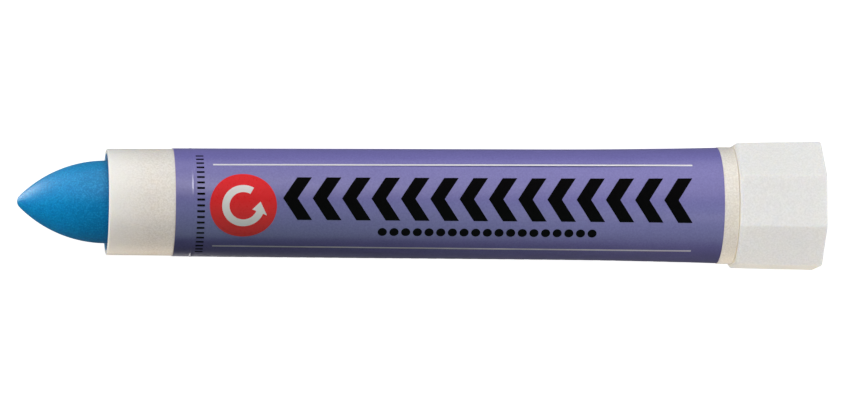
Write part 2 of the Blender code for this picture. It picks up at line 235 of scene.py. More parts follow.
# %% [markdown]
# A photographer then sets small cards by hand, one for each finish. Light linking does this here:
# each card reaches only the pieces of its group. The waxy nose gets a light from ahead for its
# shine and a soft fill. The two white plastics get warm cards from below and in front, so their
# shaded sides stay light.

# %% Cards for the paint and the plastics
nose = (-0.055, 0, 0.01)
neck = (-0.04, 0, 0.01)
rear = (0.05, 0, 0.01)
finish_cards = [
    ("nose_softbox", (-0.485, 0.26, -0.16), nose, (0.36, 0.5), 4.6, (1, 0.9, 0.8), "paint", "gloss"),
    ("nose_fill", (-0.5, -0.1, 0.2), nose, (0.3, 0.3), 1.5, (1, 0.98, 0.97), "paint", "shade"),
    ("low_card", (0, -0.3, -0.26), middle, (0.9, 0.3), 1.6, (1, 0.86, 0.68), "barrel"),
    ("front_card", (-0.1, -0.08, 0.22), neck, (0.2, 0.12), 0.21, (1, 0.93, 0.86), "barrel"),
    ("collar_card", (0.1, -0.2, 0.07), rear, (0.15, 0.1), 0.055, (1, 0.96, 0.95), "barrel"),
    ("mouth_card", (-0.6, 0, 0.05), middle, (0.25, 0.12), 1.5, (1, 0.99, 0.97), "barrel_and_knob"),
    ("knob_card", (0.1, -0.34, 0.25), rear, (0.4, 0.2), 1.0, (1, 0.97, 0.95), "knob"),
    ("knob_low_card", (0.05, -0.3, -0.26), rear, (0.5, 0.3), 0.9, (1, 0.86, 0.62), "knob"),
    ("end_card", (0.55, 0, 0.06), rear, (0.3, 0.3), 1.0, (1, 0.99, 0.98), "knob"),
]
for card in finish_cards:
    add_softbox(*card)
print("groups lit so far:", sorted(lit_by))

# %% [markdown]
# The film is glossy, so most of what it shows is the reflection of its surroundings. A wide
# greenish card in front gives the grey veil over its near half, a faint pink one behind gives its
# sheen, and two small ones give the light lower edge and the glint on the ripple. A soft warm spot
# brightens the label toward the knob.

# %% Cards for the film
film_front, film_rear, ripple_top = (-0.035, 0, 0.01), (0.03, 0, 0.01), (-0.036, 0, 0.018)
near_place, low_place, edge_place = (0, -0.39, 0.45), (0, -0.25, -0.35), (-0.12, -0.25, -0.55)
sheen_place, glint_place = (0.26, 0.62, 0.3), (-0.175, 0.36, 0.46)
both = "film_and_print"
film_cards = [
    ("near_card", near_place, middle, (1.2, 1.1), 6.6, (0.72, 1, 0.8), both, "gloss"),
    ("film_low_card", low_place, middle, (0.9, 0.3), 0.4, (1, 0.94, 0.6), both, "shade"),
    ("edge_card", edge_place, film_front, (0.2, 0.2), 0.6, (1, 0.97, 0.95), "film", "gloss"),
    ("sheen_card", sheen_place, film_rear, (0.3, 0.4), 0.5, (1, 0.9, 0.94), "film", "gloss"),
    ("glint_card", glint_place, ripple_top, (0.03, 0.3), 5.0, (1, 1, 1), "film", "gloss"),
]
for card in film_cards:
    add_softbox(*card)
spot = bpy.data.lights.new("rear_spot", "SPOT")
spot.energy = 6.0
spot.color = (1, 0.96, 0.82)
spot.spot_size = math.radians(11)
spot.spot_blend = 1.0
spot.shadow_soft_size = 0.05
rear_spot = hang_light("rear_spot", spot, (0.09, -0.24, 0.44), (0.053, 0, 0.012))
rear_spot.visible_glossy = False
keep_light_for(rear_spot, "barrel_and_film")
print("groups with lights of their own:", sorted(lit_by))

# %% [markdown]
# ## Drawing turned pieces
# The barrel and the paint stick are round about one axis, so each is drawn as half of its section
# and turned. Small rounds on the outline catch the light along edges, so a helper below can round
# any corner.

# %% Helpers for outlines
nearly_half = 0.49


def round_corner(before, corner, after, radius, steps=5):
    """Points of a small round that replaces one corner of an outline of (x, radius) points."""
    here = Vector(corner)
    back = Vector(before) - here
    onward = Vector(after) - here
    reach = min(radius, back.length * nearly_half, onward.length * nearly_half)
    start = here + back.normalized() * reach
    end = here + onward.normalized() * reach
    points = []
    for step in range(steps + 1):
        t = step / steps
        point = start * (1 - t) ** 2 + here * (2 * t * (1 - t)) + end * t**2
        points.append((point.x, point.y))
    return points


def round_outline(corners, closed):
    """An outline of (x, radius, round) entries, with each corner rounded by its own amount."""
    points = []
    count = len(corners)
    for index, (x, radius, amount) in enumerate(corners):
        inside = closed or 0 < index < count - 1
        if amount > 0 and inside:
            before = corners[index - 1][:2]
            after = corners[(index + 1) % count][:2]
            points += round_corner(before, (x, radius), after, amount)
        else:
            points.append((x, radius))
    return points


print("helpers ready: a corner round and an outline with rounds")

# %% [markdown]
# The lathe sets a ring of points for each point of an outline and lays faces between the rings. A
# point on the axis becomes a pole, and a ring can have flat sides, for a socket that takes a
# six-sided tail.

# %% Helpers for turned pieces
pole_radius = 1e-7
sharp_edge = math.radians(40)


def add_ring(work, x, radius, angles, sides=0):
    """Points round the axis, in a circle or with flat sides, or one point on the axis."""
    if radius < pole_radius:
        return [work.verts.new((x, 0, axis_z))]
    ring = []
    for angle in angles:
        size = radius
        if sides:
            half = math.pi / sides
            size = radius / math.cos((angle + half) % (2 * half) - half)
        ring.append(work.verts.new((x, size * math.sin(angle), axis_z + size * math.cos(angle))))
    return ring


def join_rings(work, rings, closed):
    """Lay faces between each ring and the next, and back to the first where it is closed."""
    for first, second in zip(rings, rings[1:] + rings[:1] if closed else rings[1:]):
        count = max(len(first), len(second))
        for step in range(count):
            after = (step + 1) % count
            face = [first[step % len(first)], first[after % len(first)]]
            face += [second[after % len(second)], second[step % len(second)]]
            work.faces.new(list(dict.fromkeys(face)))


def mesh_from(work, name):
    """Turn finished drawing work into a mesh."""
    mesh = bpy.data.meshes.new(name)
    work.to_mesh(mesh)
    work.free()
    return mesh


def shade_round(mesh):
    """Smooth shading that keeps sharp edges crisp."""
    mesh.shade_smooth()
    mesh.set_sharp_from_angle(angle=sharp_edge)


def turned_piece(name, outline, closed, finish, steps=160):
    """Turn an outline of (x, radius) or (x, radius, sides) rows about the axis into a piece."""
    work = bmesh.new()
    angles = [math.tau * step / steps for step in range(steps)]
    join_rings(work, [add_ring(work, x, r, angles, *sides) for x, r, *sides in outline], closed)
    bmesh.ops.recalc_face_normals(work, faces=work.faces)
    mesh = mesh_from(work, name)
    shade_round(mesh)
    mesh.materials.append(finish)
    return add_plain_piece(name, mesh)


print("helpers ready: rings, faces between them and a lathe")

# %% [markdown]
# ## Drawing finishes
# Each finish is a small node tree on Object coordinates, which are metres here because every piece
# sits at the origin. Noise drives the roughness and a fine bump, and a second, larger noise shifts
# the colour a little, because no moulded or printed surface is one flat colour.

# %% Helpers for nodes
def feed(tree, socket, value):
    """Link a socket to another one, or give it a plain value."""
    if isinstance(value, bpy.types.NodeSocket):
        tree.links.new(value, socket)
    else:
        socket.default_value = value


def add_node(tree, kind, inputs):
    """Add a node and feed its inputs, which are named or numbered."""
    node = tree.nodes.new(kind)
    for label, value in inputs.items():
        feed(tree, node.inputs[label], value)
    return node


def calc(tree, operation, *values):
    """One step of arithmetic on sockets and numbers."""
    node = add_node(tree, "ShaderNodeMath", dict(enumerate(values)))
    node.operation = operation
    return node.outputs[0]


def across(tree, one, other):
    """The distance that two distances at right angles add up to."""
    squares = [calc(tree, "POWER", value, 2.0) for value in (one, other)]
    return calc(tree, "SQRT", calc(tree, "ADD", *squares))


print("helpers ready: nodes and arithmetic")

# %% Helpers for finishes
def object_place(tree):
    return tree.nodes.new("ShaderNodeTexCoord").outputs["Object"]


def place_on_piece(tree):
    """Object coordinates as X, Y and Z."""
    return add_node(tree, "ShaderNodeSeparateXYZ", {0: object_place(tree)}).outputs


def noise_on_piece(tree, size, detail=2.0, stretch=(1, 1, 1)):
    """Noise whose spots are about the given size in metres, stretched along X, Y or Z."""
    scale = [1 / (size * value) for value in stretch]
    place = add_node(tree, "ShaderNodeMapping", {"Vector": object_place(tree), "Scale": scale})
    inputs = {"Vector": place.outputs["Vector"], "Scale": 1.0, "Detail": detail}
    return add_node(tree, "ShaderNodeTexNoise", inputs).outputs["Fac"]


def spread(tree, value, low, high, start=0.3, end=0.7):
    """Map noise from its usual middle range to the range from low to high."""
    inputs = {"Value": value, "From Min": start, "From Max": end, "To Min": low, "To Max": high}
    return add_node(tree, "ShaderNodeMapRange", inputs).outputs["Result"]


def mix_colours(tree, factor, first, second):
    """Mix two colours. Each is a colour or a socket that gives one."""
    node = add_node(tree, "ShaderNodeMix", {"Factor": factor})
    node.data_type = "RGBA"
    for slot, colour in ((node.inputs[6], first), (node.inputs[7], second)):
        feed(tree, slot, (*colour, 1.0) if isinstance(colour, tuple) else colour)
    return node.outputs[2]


def set_look(tree, shader, colour, roughness):
    """Feed the colour and the roughness of a finish."""
    feed(tree, shader.inputs["Base Color"], colour)
    feed(tree, shader.inputs["Roughness"], roughness)


def add_bump(tree, shader, height, depth, strength):
    """Raise the surface by a noise, by a depth in metres."""
    inputs = {"Height": height, "Distance": depth, "Strength": strength}
    bump = add_node(tree, "ShaderNodeBump", inputs)
    feed(tree, shader.inputs["Normal"], bump.outputs["Normal"])


print("helpers ready: noise, spread, mix, look and bump")

# %% [markdown]
# ## Ivory barrel
# The barrel is moulded in a slightly translucent ivory plastic. Light enters it and comes out
# warmer, so its shaded side never goes grey. The mould was spark-eroded, which leaves a fine even
# grain. Toward the mouth the neck is painted paler, a painted light near the mouth. The wall just
# inside the mouth is tinted blue. The thin rear edge lets warm light through to the gap at the
# knob, and a weak painted glow in the last tenth of a millimetre stands for it.

# %% Ivory plastic
# Painted glow: thin plastic edges at the knob gap give off this weak warm light, though no lamp is
# there.
painted_gap_glow = (1.0, 0.85, 0.58, 1)
painted_glow_strength = 0.1
ivory_plastic, tree, shader = start_finish(
    "ivory_plastic",
    {
        "Emission Color": painted_gap_glow,
        "Subsurface Weight": 0.4,
        "Subsurface Radius": (1.0, 0.75, 0.42),
        "Subsurface Scale": 1.6 * MM,
    },
)
warm_patches = spread(tree, noise_on_piece(tree, 4.0 * MM, 3.0), 0.0, 1.0)
ivory = mix_colours(tree, warm_patches, (0.82, 0.79, 0.755), (0.795, 0.765, 0.725))
fine_grain = noise_on_piece(tree, 0.28 * MM, 3.0)
ivory = mix_colours(tree, spread(tree, fine_grain, 0.6, 0.0), ivory, (0.56, 0.52, 0.47))
at = place_on_piece(tree)
# Painted light: the neck is mixed toward a paler tone over the first seven millimetres behind the
# mouth.
painted_mouth_light = spread(tree, at["X"], 0.8, 0.0, mouth_x + 0.3 * MM, mouth_x + 7.0 * MM)
ivory = mix_colours(tree, painted_mouth_light, ivory, (0.83, 0.825, 0.81))
# The bore wall just inside the mouth is tinted blue.
off_axis = across(tree, at["Y"], calc(tree, "SUBTRACT", at["Z"], axis_z))
blue_bore_tint = spread(tree, off_axis, 0.85, 0.0, bore_radius + 0.1 * MM, bore_radius + 0.22 * MM)
ivory = mix_colours(tree, blue_bore_tint, ivory, (0.02, 0.3, 0.62))
set_look(tree, shader, ivory, spread(tree, fine_grain, 0.38, 0.5))
add_bump(tree, shader, fine_grain, 0.05 * MM, 0.7)
# Painted glow: the last 0.13 mm of the barrel's rear edge gives off weak warm light.
painted_glow_start_x = barrel_rear_x - 0.13 * MM
painted_rear_glow = spread(tree, at["X"], 0.0, painted_glow_strength, painted_glow_start_x, barrel_rear_x)
feed(tree, shader.inputs["Emission Strength"], painted_rear_glow)
print("finish:", ivory_plastic.name)

# %% [markdown]
# The barrel itself is a drafted tube. The outline runs along the outer side from the mouth to the
# collar, then back through the socket for the rear bush and down the bore. A groove in the socket
# takes the snap bead of the bush.

# %% Barrel tube
rear_bore_radius = bore_radius + 0.34 * MM
socket_radius = rear_bore_radius + 0.3 * MM
socket_front_x = barrel_rear_x - 7.0 * MM
snap_x = barrel_rear_x - 2.6 * MM
snap_radius = socket_radius + 0.2 * MM
snap_mouth, snap_floor = 1.0 * MM, 0.8 * MM
flare_steps = 12
barrel_corners = [
    (mouth_x, bore_radius, 0.2 * MM),
    (mouth_x, mouth_radius, 0.28 * MM),
    (film_front_x, seat_radius(film_front_x), 0),
]
for step in range(flare_steps + 1):
    station = flare_x + flare_length * step / flare_steps
    barrel_corners.append((station, seat_radius(station), 0))
barrel_corners += [
    (film_rear_x, collar_radius, 0.1 * MM),
    (barrel_rear_x, collar_radius, 0.14 * MM),
    (barrel_rear_x, socket_radius, 0.15 * MM),
    (snap_x + snap_mouth, socket_radius, 0),
    (snap_x + snap_floor, snap_radius, 0),
    (snap_x - snap_floor, snap_radius, 0),
    (snap_x - snap_mouth, socket_radius, 0),
    (socket_front_x, socket_radius, 0.1 * MM),
    (socket_front_x, rear_bore_radius, 0.1 * MM),
]
barrel_outline = round_outline(barrel_corners, True)
barrel_tube = turned_piece("barrel_tube", barrel_outline, True, ivory_plastic)
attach(barrel_tube, "barrel_assembly")
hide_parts("barrel")
light_piece(barrel_tube, "barrel", "barrel_and_knob", "barrel_and_film")
print("barrel tube:", len(barrel_tube.data.polygons), "faces")

# %% [markdown]
# ## Building node trees
# What repeats, or follows a surface, is made with Geometry Nodes: the guide ribs in the bore, the
# printed film and every mark on it. These helpers build a tree from named inputs, set a modifier's
# inputs by their identifiers, and turn the result into a plain mesh.

# %% Helpers for node trees
def start_tree(name, inputs):
    """A geometry tree with one geometry in and out, and more inputs of (name, kind, value)."""
    tree = bpy.data.node_groups.new(name, "GeometryNodeTree")
    tree.interface.new_socket("Geometry", in_out="INPUT", socket_type="NodeSocketGeometry")
    for label, kind, value in inputs:
        made = tree.interface.new_socket(label, in_out="INPUT", socket_type="NodeSocket" + kind)
        if value is not None:
            made.default_value = value
    tree.interface.new_socket("Geometry", in_out="OUTPUT", socket_type="NodeSocketGeometry")
    given = tree.nodes.new("NodeGroupInput").outputs
    result = tree.nodes.new("NodeGroupOutput").inputs["Geometry"]
    return tree, given, result


def split_position(tree):
    place = tree.nodes.new("GeometryNodeInputPosition").outputs[0]
    return add_node(tree, "ShaderNodeSeparateXYZ", {0: place}).outputs


def combine(tree, x=0.0, y=0.0, z=0.0):
    return add_node(tree, "ShaderNodeCombineXYZ", {"X": x, "Y": y, "Z": z}).outputs[0]


def move_points(tree, geometry, x, y, z):
    """Give every point of a geometry a new position."""
    inputs = {"Geometry": geometry, "Position": combine(tree, x, y, z)}
    return add_node(tree, "GeometryNodeSetPosition", inputs).outputs["Geometry"]


def realize(tree, geometry):
    """Make real meshes of what is repeated."""
    inputs = {"Geometry": geometry}
    return add_node(tree, "GeometryNodeRealizeInstances", inputs).outputs["Geometry"]


def finish_tree(tree, geometry, material, result):
    """Realize what is repeated, give it its finish and hand it out."""
    inputs = {"Geometry": realize(tree, geometry), "Material": material}
    feed(tree, result, add_node(tree, "GeometryNodeSetMaterial", inputs).outputs["Geometry"])


print("helpers ready: the start, the steps and the end of a tree")

# %% Helpers that run a tree
def run_tree(piece, tree, values):
    """Put a tree on a piece and set its inputs by their identifiers."""
    step = piece.modifiers.new(tree.name, "NODES")
    step.node_group = tree
    for item in tree.interface.items_tree:
        if item.in_out == "INPUT" and item.name in values:
            step[item.identifier] = values[item.name]


def make_plain(piece):
    """Replace a piece's mesh by what its modifiers make of it, and remove the modifiers."""
    bpy.context.view_layer.update()
    graph = bpy.context.evaluated_depsgraph_get()
    made = bpy.data.meshes.new_from_object(piece.evaluated_get(graph))
    piece.modifiers.clear()
    drawn = piece.data
    piece.data = made
    bpy.data.meshes.remove(drawn)
    made.name = piece.name
    shade_round(made)


print("helpers ready: run a tree and keep its mesh")

# %% [markdown]
# ## Guide ribs
# Four straight ribs run down the bore and keep the carrier from turning, so the screw has to push
# it forward. One rib is drawn, and a tree repeats it round the axis.

# %% Tree that repeats a shape round the axis
ring_tree, given, result = start_tree(
    "ring_of_ribs",
    [
        ("Count", "Int", 4),
        ("First Turn", "Float", 0.0),
        ("Axis Height", "Float", 0.0),
        ("Finish", "Material", None),
    ],
)
no_step = (0, 0, 0)
spots = add_node(ring_tree, "GeometryNodeMeshLine", {"Count": given["Count"], "Offset": no_step})
index = ring_tree.nodes.new("GeometryNodeInputIndex").outputs[0]
share = calc(ring_tree, "MULTIPLY", index, math.tau)
share = calc(ring_tree, "DIVIDE", share, given["Count"])
spin = combine(ring_tree, x=calc(ring_tree, "ADD", share, given["First Turn"]))
repeated = {"Points": spots.outputs["Mesh"], "Instance": given["Geometry"], "Rotation": spin}
copies = add_node(ring_tree, "GeometryNodeInstanceOnPoints", repeated).outputs["Instances"]
raised = {"Geometry": copies, "Translation": combine(ring_tree, z=given["Axis Height"])}
lifted = add_node(ring_tree, "GeometryNodeTransform", raised).outputs["Geometry"]
finish_tree(ring_tree, lifted, given["Finish"], result)
print("tree:", ring_tree.name)

# %% Ribs in the bore
bar_count = 4
bar_width = 1.2 * MM
first_bar = math.radians(45)


def bars_round_axis(name, ends, radii, edge, finish):
    """Straight bars along X with rounded edges, repeated round the axis."""
    low = Vector((ends[0], -bar_width / 2, radii[0]))
    high = Vector((ends[1], bar_width / 2, radii[1]))
    size = Matrix.Diagonal((*(high - low), 1))
    work = bmesh.new()
    bmesh.ops.create_cube(work, size=1.0, matrix=Matrix.Translation((low + high) / 2) @ size)
    rounding = {"offset": edge, "segments": 2, "affect": "EDGES", "profile": 0.5}
    bmesh.ops.bevel(work, geom=work.edges, **rounding)
    bars = add_plain_piece(name, mesh_from(work, name))
    values = {"Count": bar_count, "First Turn": first_bar, "Axis Height": axis_z, "Finish": finish}
    run_tree(bars, ring_tree, values)
    make_plain(bars)
    return bars


rib_ends = (mouth_x + 6.0 * MM, socket_front_x - 0.3 * MM)
rib_radii = (stick_radius + 0.35 * MM, bore_radius + 0.5 * MM)
guide_ribs = bars_round_axis("guide_ribs", rib_ends, rib_radii, 0.12 * MM, ivory_plastic)
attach(guide_ribs, "barrel_assembly")
print("guide ribs:", len(guide_ribs.data.polygons), "faces")

# %% [markdown]
# ## The wrap
# A label is printed flat and then wrapped. The tree below does the same: X stays the distance along
# the marker, Y becomes the way round the barrel, and Z is the height above the film. The radius
# follows the barrel's draft and flare, so whatever is drawn flat ends up lying on the barrel.

# %% Tree that wraps flat things round the barrel
wrap_radius = 8.6 * MM
wrap_tree, given, result = start_tree(
    "wrap_on_barrel",
    [
        ("Lift", "Float", 0.0),
        ("Mouth X", "Float", mouth_x),
        ("Mouth Radius", "Float", mouth_radius),
        ("Draft Slope", "Float", draft_slope),
        ("Flare X", "Float", flare_x),
        ("Flare Length", "Float", flare_length),
        ("Flare Rise", "Float", flare_rise),
        ("Wrap Radius", "Float", wrap_radius),
        ("Axis Height", "Float", axis_z),
    ],
)
reckon = partial(calc, wrap_tree)
flat = split_position(wrap_tree)
from_mouth = reckon("SUBTRACT", flat["X"], given["Mouth X"])
drafted = reckon("MULTIPLY", from_mouth, given["Draft Slope"])
into_flare = reckon("SUBTRACT", flat["X"], given["Flare X"])
flare_share = reckon("MAXIMUM", reckon("DIVIDE", into_flare, given["Flare Length"]), 0.0)
flared = reckon("MULTIPLY", reckon("POWER", flare_share, 2.0), given["Flare Rise"])
radius = reckon("ADD", reckon("ADD", given["Mouth Radius"], drafted), flared)
radius = reckon("ADD", reckon("ADD", radius, given["Lift"]), flat["Z"])
way_round = reckon("DIVIDE", flat["Y"], given["Wrap Radius"])
side = reckon("MULTIPLY", radius, reckon("SINE", way_round))
height = reckon("MULTIPLY", radius, reckon("COSINE", way_round))
height = reckon("ADD", height, given["Axis Height"])
feed(wrap_tree, result, move_points(wrap_tree, given["Geometry"], flat["X"], side, height))
print("tree:", wrap_tree.name, "with", len(wrap_tree.nodes), "nodes")

# %% [markdown]
# Every printed mark is then made in one way. A single mark is drawn flat, repeated along a line,
# wrapped, and given its ink. A random share with a fixed seed can make the copies uneven in length.

# %% Tree that prints a row of marks
row_tree, given, result = start_tree(
    "printed_row",
    [
        ("Count", "Int", 1),
        ("First", "Vector", (0, 0, 0)),
        ("Step", "Vector", (0, 0, 0)),
        ("Shortest", "Float", 1.0),
        ("Seed", "Int", 3),
        ("Lift", "Float", 0.0),
        ("Finish", "Material", None),
    ],
)
row = {"Count": given["Count"], "Start Location": given["First"], "Offset": given["Step"]}
spots = add_node(row_tree, "GeometryNodeMeshLine", row)
chance = row_tree.nodes.new("FunctionNodeRandomValue")
chance.data_type = "FLOAT"
for socket, value in ((2, given["Shortest"]), (3, 1.0), ("Seed", given["Seed"])):
    feed(row_tree, chance.inputs[socket], value)
stretch = combine(row_tree, chance.outputs[1], 1.0, 1.0)
repeated = {"Points": spots.outputs["Mesh"], "Instance": given["Geometry"], "Scale": stretch}
copies = add_node(row_tree, "GeometryNodeInstanceOnPoints", repeated).outputs["Instances"]
wrap = row_tree.nodes.new("GeometryNodeGroup")
wrap.node_tree = wrap_tree
feed(row_tree, wrap.inputs["Geometry"], realize(row_tree, copies))
feed(row_tree, wrap.inputs["Lift"], given["Lift"])
finish_tree(row_tree, wrap.outputs["Geometry"], given["Finish"], result)
print("tree:", row_tree.name)

# %% [markdown]
# ## Violet film
# The label is a glossy film printed violet, glued into a sleeve with a lap on the underside. It
# starts a quarter of a millimetre in front of the film's solid, as in the photograph. At both ends
# a thin border is left unprinted. Screen dots give the violet a fine grain. The film is smooth, but
# it never lies quite even, so its gloss wavers slightly along the barrel.

# %% Film finish
film_edge_x = film_front_x - 0.25 * MM
border_width = 0.06 * MM
border_blur = 0.03 * MM
violet_film, tree, shader = start_finish(
    "violet_film",
    {"Specular IOR Level": 0.3, "Coat Weight": 0.15, "Coat Roughness": 0.2},
)
print_clouds = spread(tree, noise_on_piece(tree, 6.0 * MM, 3.0, (2.5, 1, 1)), 0.0, 1.0)
violet = mix_colours(tree, print_clouds, (0.165, 0.15, 0.435), (0.153, 0.14, 0.415))
print_grain = spread(tree, noise_on_piece(tree, 0.3 * MM), 0.0, 0.5)
violet = mix_colours(tree, print_grain, violet, (0.225, 0.208, 0.54))
film_middle_x = (film_edge_x + film_rear_x) / 2
from_middle = calc(tree, "SUBTRACT", place_on_piece(tree)["X"], film_middle_x)
from_middle = calc(tree, "ABSOLUTE", from_middle)
border_start = (film_rear_x - film_edge_x) / 2 - border_width
border = spread(tree, from_middle, 0.0, 1.0, border_start, border_start + border_blur)
violet = mix_colours(tree, border, violet, (0.62, 0.5, 0.58))
waver = noise_on_piece(tree, 1.1 * MM, stretch=(3, 1, 1))
set_look(tree, shader, violet, spread(tree, waver, 0.28, 0.38))
add_bump(tree, shader, waver, 0.004 * MM, 0.35)
print("finish:", violet_film.name)

# %% [markdown]
# The flat sheet has more rows where the film does something: at its front edge and at a tiny
# ripple behind it, with even rows through the rest. The last stretch lifts onto the first to form
# the lap. After the wrap, a Solidify modifier gives the film its thickness.

# %% Film sleeve
film_lift = film_gap + film_thickness
film_end_x = film_rear_x - film_gap
lap = 2.5 * MM
lap_ramp = 1.2 * MM
lap_rise = film_thickness + 0.012 * MM
ripple_x = film_front_x + 2.6 * MM
ripple_height = 0.03 * MM
ripple_width = 0.17 * MM
half_way = math.pi * wrap_radius
columns = 176
film_rows = {film_edge_x, film_end_x}
film_rows.update(film_edge_x + 0.1 * MM * step for step in range(1, 12))
film_rows.update(ripple_x + 0.05 * MM * step for step in range(-16, 17))
film_rows.update(ripple_x + 1.5 * MM * step for step in range(1, 55))
work = bmesh.new()
grid = []
for x in sorted(row for row in film_rows if row <= film_end_x):
    ripple = ripple_height * math.exp(-(((x - ripple_x) / ripple_width) ** 2))
    line = []
    for column in range(columns + 1):
        y = -half_way + (2 * half_way + lap) * column / columns
        share = min(1.0, max(0.0, (y - half_way + lap_ramp) / lap_ramp))
        rise = share * share * (3 - 2 * share) * lap_rise
        line.append(work.verts.new((x, y, ripple + rise)))
    grid.append(line)
for first, second in zip(grid, grid[1:]):
    for column in range(columns):
        work.faces.new((first[column], second[column], second[column + 1], first[column + 1]))
film_sleeve = add_plain_piece("film_sleeve", mesh_from(work, "film_sleeve"))
run_tree(film_sleeve, row_tree, {"Count": 1, "Lift": film_lift, "Finish": violet_film})
wall = film_sleeve.modifiers.new("film_thickness", "SOLIDIFY")
wall.thickness = film_thickness
wall.offset = -1
make_plain(film_sleeve)
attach(film_sleeve, "barrel_assembly")
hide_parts("label_film")
light_piece(film_sleeve, "film", "film_and_print", "barrel_and_film")
print("film sleeve:", len(film_sleeve.data.polygons), "faces")

# %% [markdown]
# ## Printed marks
# The print is a few thousandths of a millimetre of ink. It is made as thin closed slabs that lie on
# the film, so the marks stay sharp at any distance. Each slab is cut into narrow strips before the
# wrap, because a long straight edge could not follow the curve.

# %% Helpers for printed marks
ink_top = 0.012 * MM
ink_bottom = -0.006 * MM


def slab_from_outlines(name, outlines, strip, low):
    """A thin slab from flat closed outlines of (x, y) points, cut into strips for bending."""
    work = bmesh.new()
    for outline in outlines:
        work.faces.new([work.verts.new((x, y, low)) for x, y in outline])
    ys = [vertex.co.y for vertex in work.verts]
    cut = math.floor(min(ys) / strip) * strip + strip
    plane = {"dist": 1e-8, "plane_no": (0, 1, 0)}
    while cut < max(ys) - 1e-6:
        everything = work.verts[:] + work.edges[:] + work.faces[:]
        bmesh.ops.bisect_plane(work, geom=everything, plane_co=(0, cut, 0), **plane)
        cut += strip
    bmesh.ops.remove_doubles(work, verts=work.verts, dist=1e-7)
    raised = bmesh.ops.extrude_face_region(work, geom=work.faces[:])
    tops = [item for item in raised["geom"] if isinstance(item, bmesh.types.BMVert)]
    bmesh.ops.translate(work, verts=tops, vec=(0, 0, ink_top - low))
    bmesh.ops.recalc_face_normals(work, faces=work.faces)
    return mesh_from(work, name)


def print_row(name, outlines, count, first, step, ink, strip=0.45 * MM, low=ink_bottom, **more):
    """Repeat one flat mark along a line and wrap the row. More inputs of the tree go by name."""
    piece = add_plain_piece(name, slab_from_outlines(name, outlines, strip, low))
    values = {"Count": count, "First": (*first, 0), "Step": (*step, 0), "Finish": ink}
    run_tree(piece, row_tree, values | {"Lift": film_lift} | more)
    make_plain(piece)
    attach(piece, "barrel_assembly")
    light_piece(piece, "film_and_print", "barrel_and_film")
    print(name + ":", len(piece.data.polygons), "faces")


def way_round_barrel(degrees):
    """The flat distance from the barrel's top line that wraps to an angle."""
    return math.radians(degrees) * wrap_radius


print("helpers ready: slabs and printed rows, ink in mm:", round((ink_top - ink_bottom) / MM, 3))

# %% [markdown]
# Four inks are printed on the film. Screen-printed ink is a little uneven in tone and in gloss. The
# black is deep and nearly without shine, and the others have a soft one.

# %% Inks
def ink_finish(name, colour, other, roughness, gloss_level=0.25):
    """Screen-printed ink between two tones."""
    finish, tree, shader = start_finish(name, {"Specular IOR Level": gloss_level})
    tone = spread(tree, noise_on_piece(tree, 0.7 * MM, 3.0), 0.0, 1.0)
    gloss = noise_on_piece(tree, 0.3 * MM)
    uneven = spread(tree, gloss, roughness - 0.05, roughness + 0.07)
    set_look(tree, shader, mix_colours(tree, tone, colour, other), uneven)
    add_bump(tree, shader, gloss, 0.003 * MM, 0.3)
    return finish


deep_black, soft_black = (0.0006, 0.0004, 0.0008), (0.0012, 0.0009, 0.0014)
white_ink = ink_finish("white_ink", (0.82, 0.81, 0.86), (0.78, 0.77, 0.83), 0.32)
black_ink = ink_finish("black_ink", deep_black, soft_black, 0.5, 0.025)
red_ink = ink_finish("red_ink", (0.93, 0.018, 0.026), (0.89, 0.015, 0.022), 0.3, 0.14)
bright_ink = ink_finish("bright_ink", (0.95, 0.93, 0.92), (0.92, 0.9, 0.89), 0.32)
print("inks:", white_ink.name, black_ink.name, red_ink.name, bright_ink.name)

# %% [markdown]
# Two fine white lines frame the print, one above and one below. The middle of the print sits a
# little in front of the barrel's top line, because the marker was laid down slightly turned.

# %% White pin lines
def rectangle(width, height):
    """Corners of a rectangle about the origin."""
    x, y = width / 2, height / 2
    return [(-x, -y), (x, -y), (x, y), (-x, y)]


print_turn = way_round_barrel(-9.3)
pin_half = way_round_barrel(48.4)
line_start_x, line_end_x = -33.2 * MM, 42.4 * MM
line_outline = rectangle(line_end_x - line_start_x, 0.3 * MM)
first_line = ((line_start_x + line_end_x) / 2, print_turn - pin_half)
print_row("pin_lines", [line_outline], 2, first_line, (0, 2 * pin_half), white_ink)

# %% [markdown]
# A row of bold chevrons points to the nose and says which way the paint comes out. One chevron is
# drawn from its outline, and the tree repeats it.

# %% Chevrons
chevron_half = 6.9 * MM / 2
depth = 2.3 * MM
stroke = 2.3 * MM
chevron_count = 14
row_start_x, row_end_x = -22.4 * MM, 42.2 * MM
upper = [(0, 0), (stroke, 0), (stroke + depth, chevron_half), (depth, chevron_half)]
lower = [(0, 0), (depth, -chevron_half), (stroke + depth, -chevron_half), (stroke, 0)]
pitch = (row_end_x - row_start_x - stroke - depth) / (chevron_count - 1)
first_chevron = (row_start_x, print_turn + way_round_barrel(9.4))
print_row("feed_chevrons", [upper, lower], chevron_count, first_chevron, (pitch, 0), black_ink)

# %% [markdown]
# Under the chevrons runs a line of small dots, and near the front end a scale of short ticks goes
# round the barrel.

# %% Dots and ticks
def spots_round(corners):
    """Flat points from (radius, angle) pairs."""
    return [(radius * math.cos(angle), radius * math.sin(angle)) for radius, angle in corners]


def circle(radius, steps):
    return spots_round([(radius, math.tau * step / steps) for step in range(steps)])


